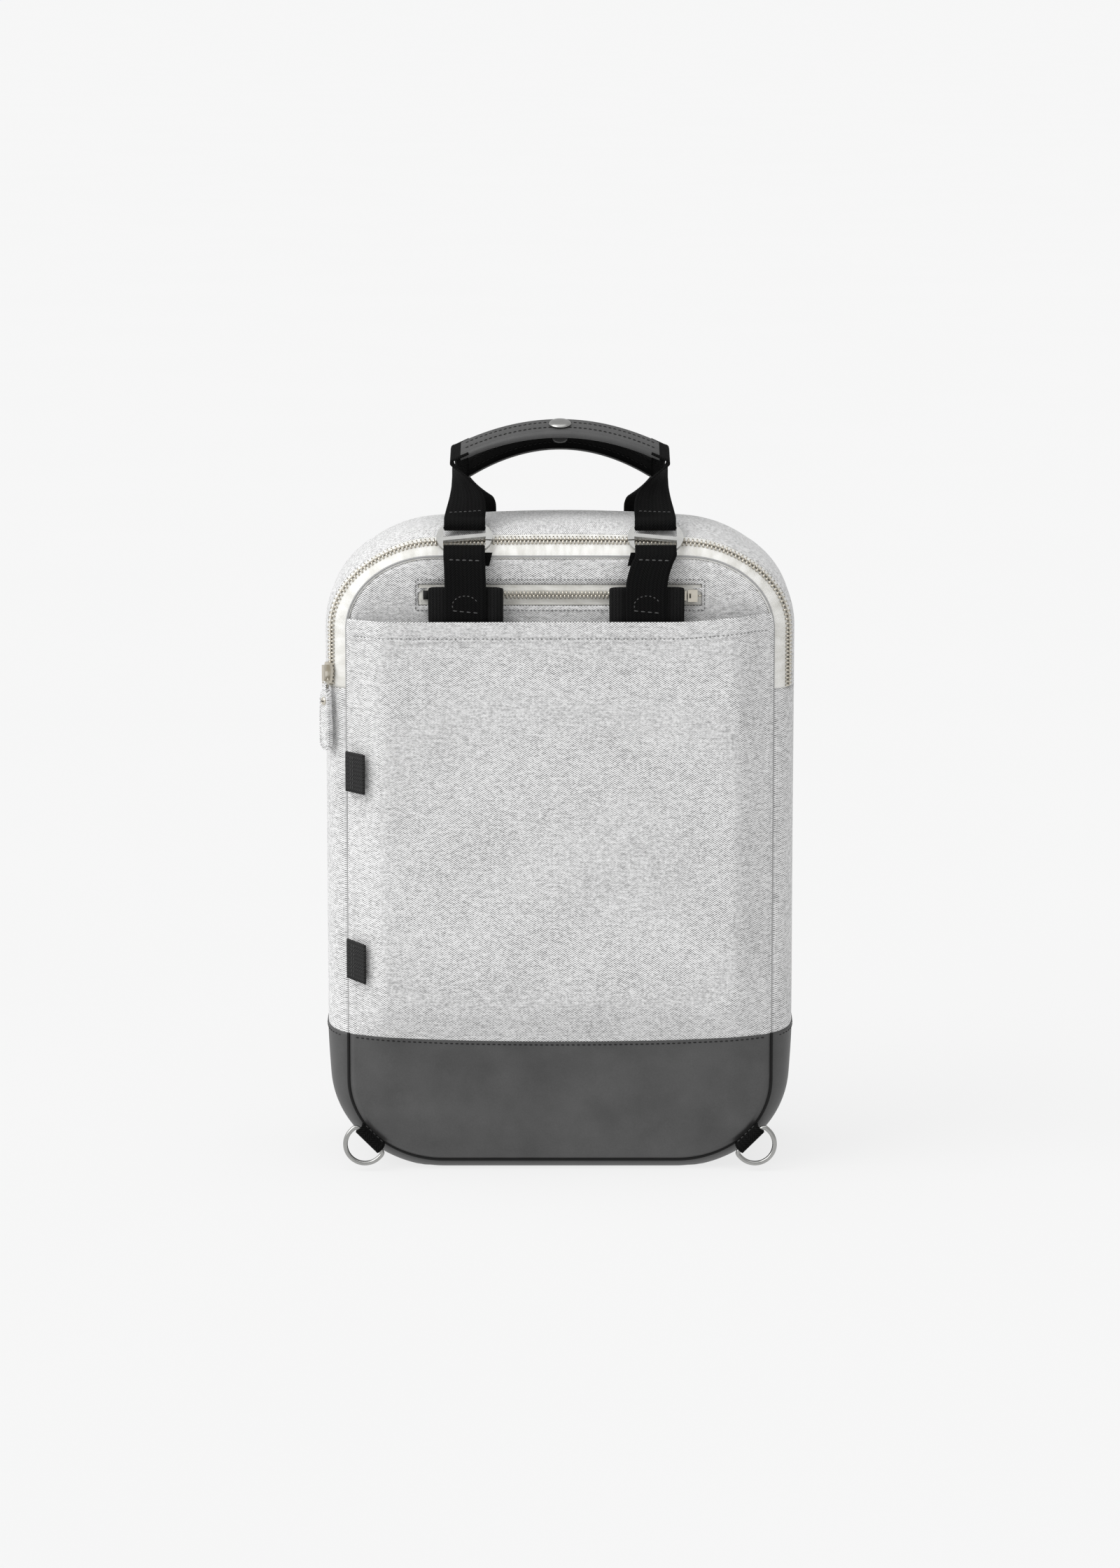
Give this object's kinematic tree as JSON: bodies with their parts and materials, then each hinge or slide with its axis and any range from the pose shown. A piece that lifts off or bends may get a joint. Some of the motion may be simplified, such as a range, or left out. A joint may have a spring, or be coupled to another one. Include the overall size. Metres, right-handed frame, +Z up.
{
  "type": "travel_backpack",
  "caption": "Pale grey canvas travel backpack with a dark leather base, carry handles, stowed shoulder straps and metal zips",
  "frame": {"origin": "Middle of the flat underside of the leather base", "axes": "+X to the right seen from the back, where the straps are; +Y from the back (wearer side) to the front; +Z up"},
  "size_m": [0.2986, 0.1458, 0.4724],
  "materials": {
    "canvas": "pale grey canvas with a fine dark speckle, matt",
    "leather": "smooth charcoal leather, satin",
    "webbing": "black ribbed webbing, matt",
    "zip_tape": "off-white woven zip tape, matt",
    "steel": "bright steel, fine satin",
    "zip_metal": "warm bright metal",
    "foam": "dark padded lining and plain plastic, matt",
    "board": "stiff fibre board"
  },
  "bodies": {
    "shell": {"back_base_leather": "leather", "back_panel": "canvas", "back_pocket_panel": "canvas", "base_board": "board", "base_gusset_leather": "leather", "corner_tab_left": "webbing", "corner_tab_right": "webbing", "front_base_leather": "leather", "front_panel": "canvas", "front_zip_tape_inner": "zip_tape", "front_zip_teeth_inner": "zip_metal", "gusset_left": "canvas", "gusset_right": "canvas", "gusset_top": "canvas", "laptop_divider": "foam", "main_zip_tape_inner": "zip_tape", "main_zip_tape_outer": "zip_tape", "main_zip_teeth": "zip_metal", "pocket_zip_tape": "zip_tape", "pocket_zip_teeth": "zip_metal", "side_loop_lower": "webbing", "side_loop_upper": "webbing", "strap_adjuster_left": "foam", "strap_adjuster_right": "foam", "strap_clip_left": "steel", "strap_clip_right": "steel", "strap_pad_left": "webbing", "strap_pad_right": "webbing", "strap_tail_left": "webbing", "strap_tail_right": "webbing", "strap_webbing_left": "webbing", "strap_webbing_right": "webbing"},
    "hooks": {"strap_hook_left": "steel", "strap_hook_right": "steel"},
    "back_handle": {"back_handle_grip": "leather", "back_handle_webbing_left": "webbing", "back_handle_webbing_right": "webbing", "back_handle_snap_cap": "steel", "back_handle_snap_socket": "steel"},
    "flap": {"front_flap": "canvas", "front_zip_tape_outer": "zip_tape", "front_zip_teeth_outer": "zip_metal"},
    "front_handle": {"front_handle_grip": "leather", "front_handle_webbing_left": "webbing", "front_handle_webbing_right": "webbing", "front_handle_snap_stud": "steel", "front_handle_snap_cap": "steel"},
    "main_zip_slider_body": {"main_zip_slider": "zip_metal"},
    "main_zip_pull_body": {"main_zip_pull": "canvas", "main_zip_pull_link": "zip_metal", "main_zip_pull_rivet": "zip_metal"},
    "front_zip_slider_body": {"front_zip_slider": "zip_metal"},
    "front_zip_pull_body": {"front_zip_pull": "canvas", "front_zip_pull_link": "zip_metal", "front_zip_pull_rivet": "zip_metal"},
    "pocket_zip_slider_body": {"pocket_zip_slider": "zip_metal", "pocket_zip_pull": "zip_metal"},
    "corner_ring_left_body": {"corner_ring_left": "steel"},
    "corner_ring_right_body": {"corner_ring_right": "steel"}
  },
  "joints": [
    {"name": "hooks_swing", "type": "hinge", "parent": "shell", "child": "hooks", "pos_m": [0, -0.0632, 0.39512], "axis": [1, 0, 0], "range_deg": [0, 85]},
    {"name": "back_handle_swing", "type": "hinge", "parent": "hooks", "child": "back_handle", "pos_m": [0, -0.0468, 0.40888], "axis": [1, 0, 0], "range_deg": [0, 100]},
    {"name": "front_flap_open", "type": "hinge", "parent": "shell", "child": "flap", "pos_m": [0, 0.0672, 0.308], "axis": [1, 0, 0], "range_deg": [-55, 0]},
    {"name": "front_handle_swing", "type": "hinge", "parent": "flap", "child": "front_handle", "pos_m": [0, 0.0616, 0.3922], "axis": [1, 0, 0], "range_deg": [-150, 0]},
    {"name": "main_zip_slide", "type": "slide", "parent": "shell", "child": "main_zip_slider_body", "axis": [0, 0, 1], "range_m": [0, 0.02]},
    {"name": "main_zip_pull_swing", "type": "hinge", "parent": "main_zip_slider_body", "child": "main_zip_pull_body", "pos_m": [-0.1466, -0.05457, 0.3144], "axis": [-0.5604, 0.8282, 0], "range_deg": [0, 130]},
    {"name": "front_zip_slide", "type": "slide", "parent": "shell", "child": "front_zip_slider_body", "axis": [0, 0, 1], "range_m": [0, 0.02]},
    {"name": "front_zip_pull_swing", "type": "hinge", "parent": "front_zip_slider_body", "child": "front_zip_pull_body", "pos_m": [-0.14814, 0.0518, 0.3144], "axis": [0, 1, 0], "range_deg": [0, 130]},
    {"name": "pocket_zip_slide", "type": "slide", "parent": "shell", "child": "pocket_zip_slider_body", "axis": [1, 0, 0], "range_m": [-0.155, 0]},
    {"name": "corner_ring_left_swing", "type": "hinge", "parent": "shell", "child": "corner_ring_left_body", "pos_m": [-0.12008, -0.067, 0.02082], "axis": [-0.7071, 0, 0.7071], "range_deg": [-15, 160]},
    {"name": "corner_ring_right_swing", "type": "hinge", "parent": "shell", "child": "corner_ring_right_body", "pos_m": [0.12008, -0.067, 0.02082], "axis": [-0.7071, 0, -0.7071], "range_deg": [-15, 160]}
  ]
}
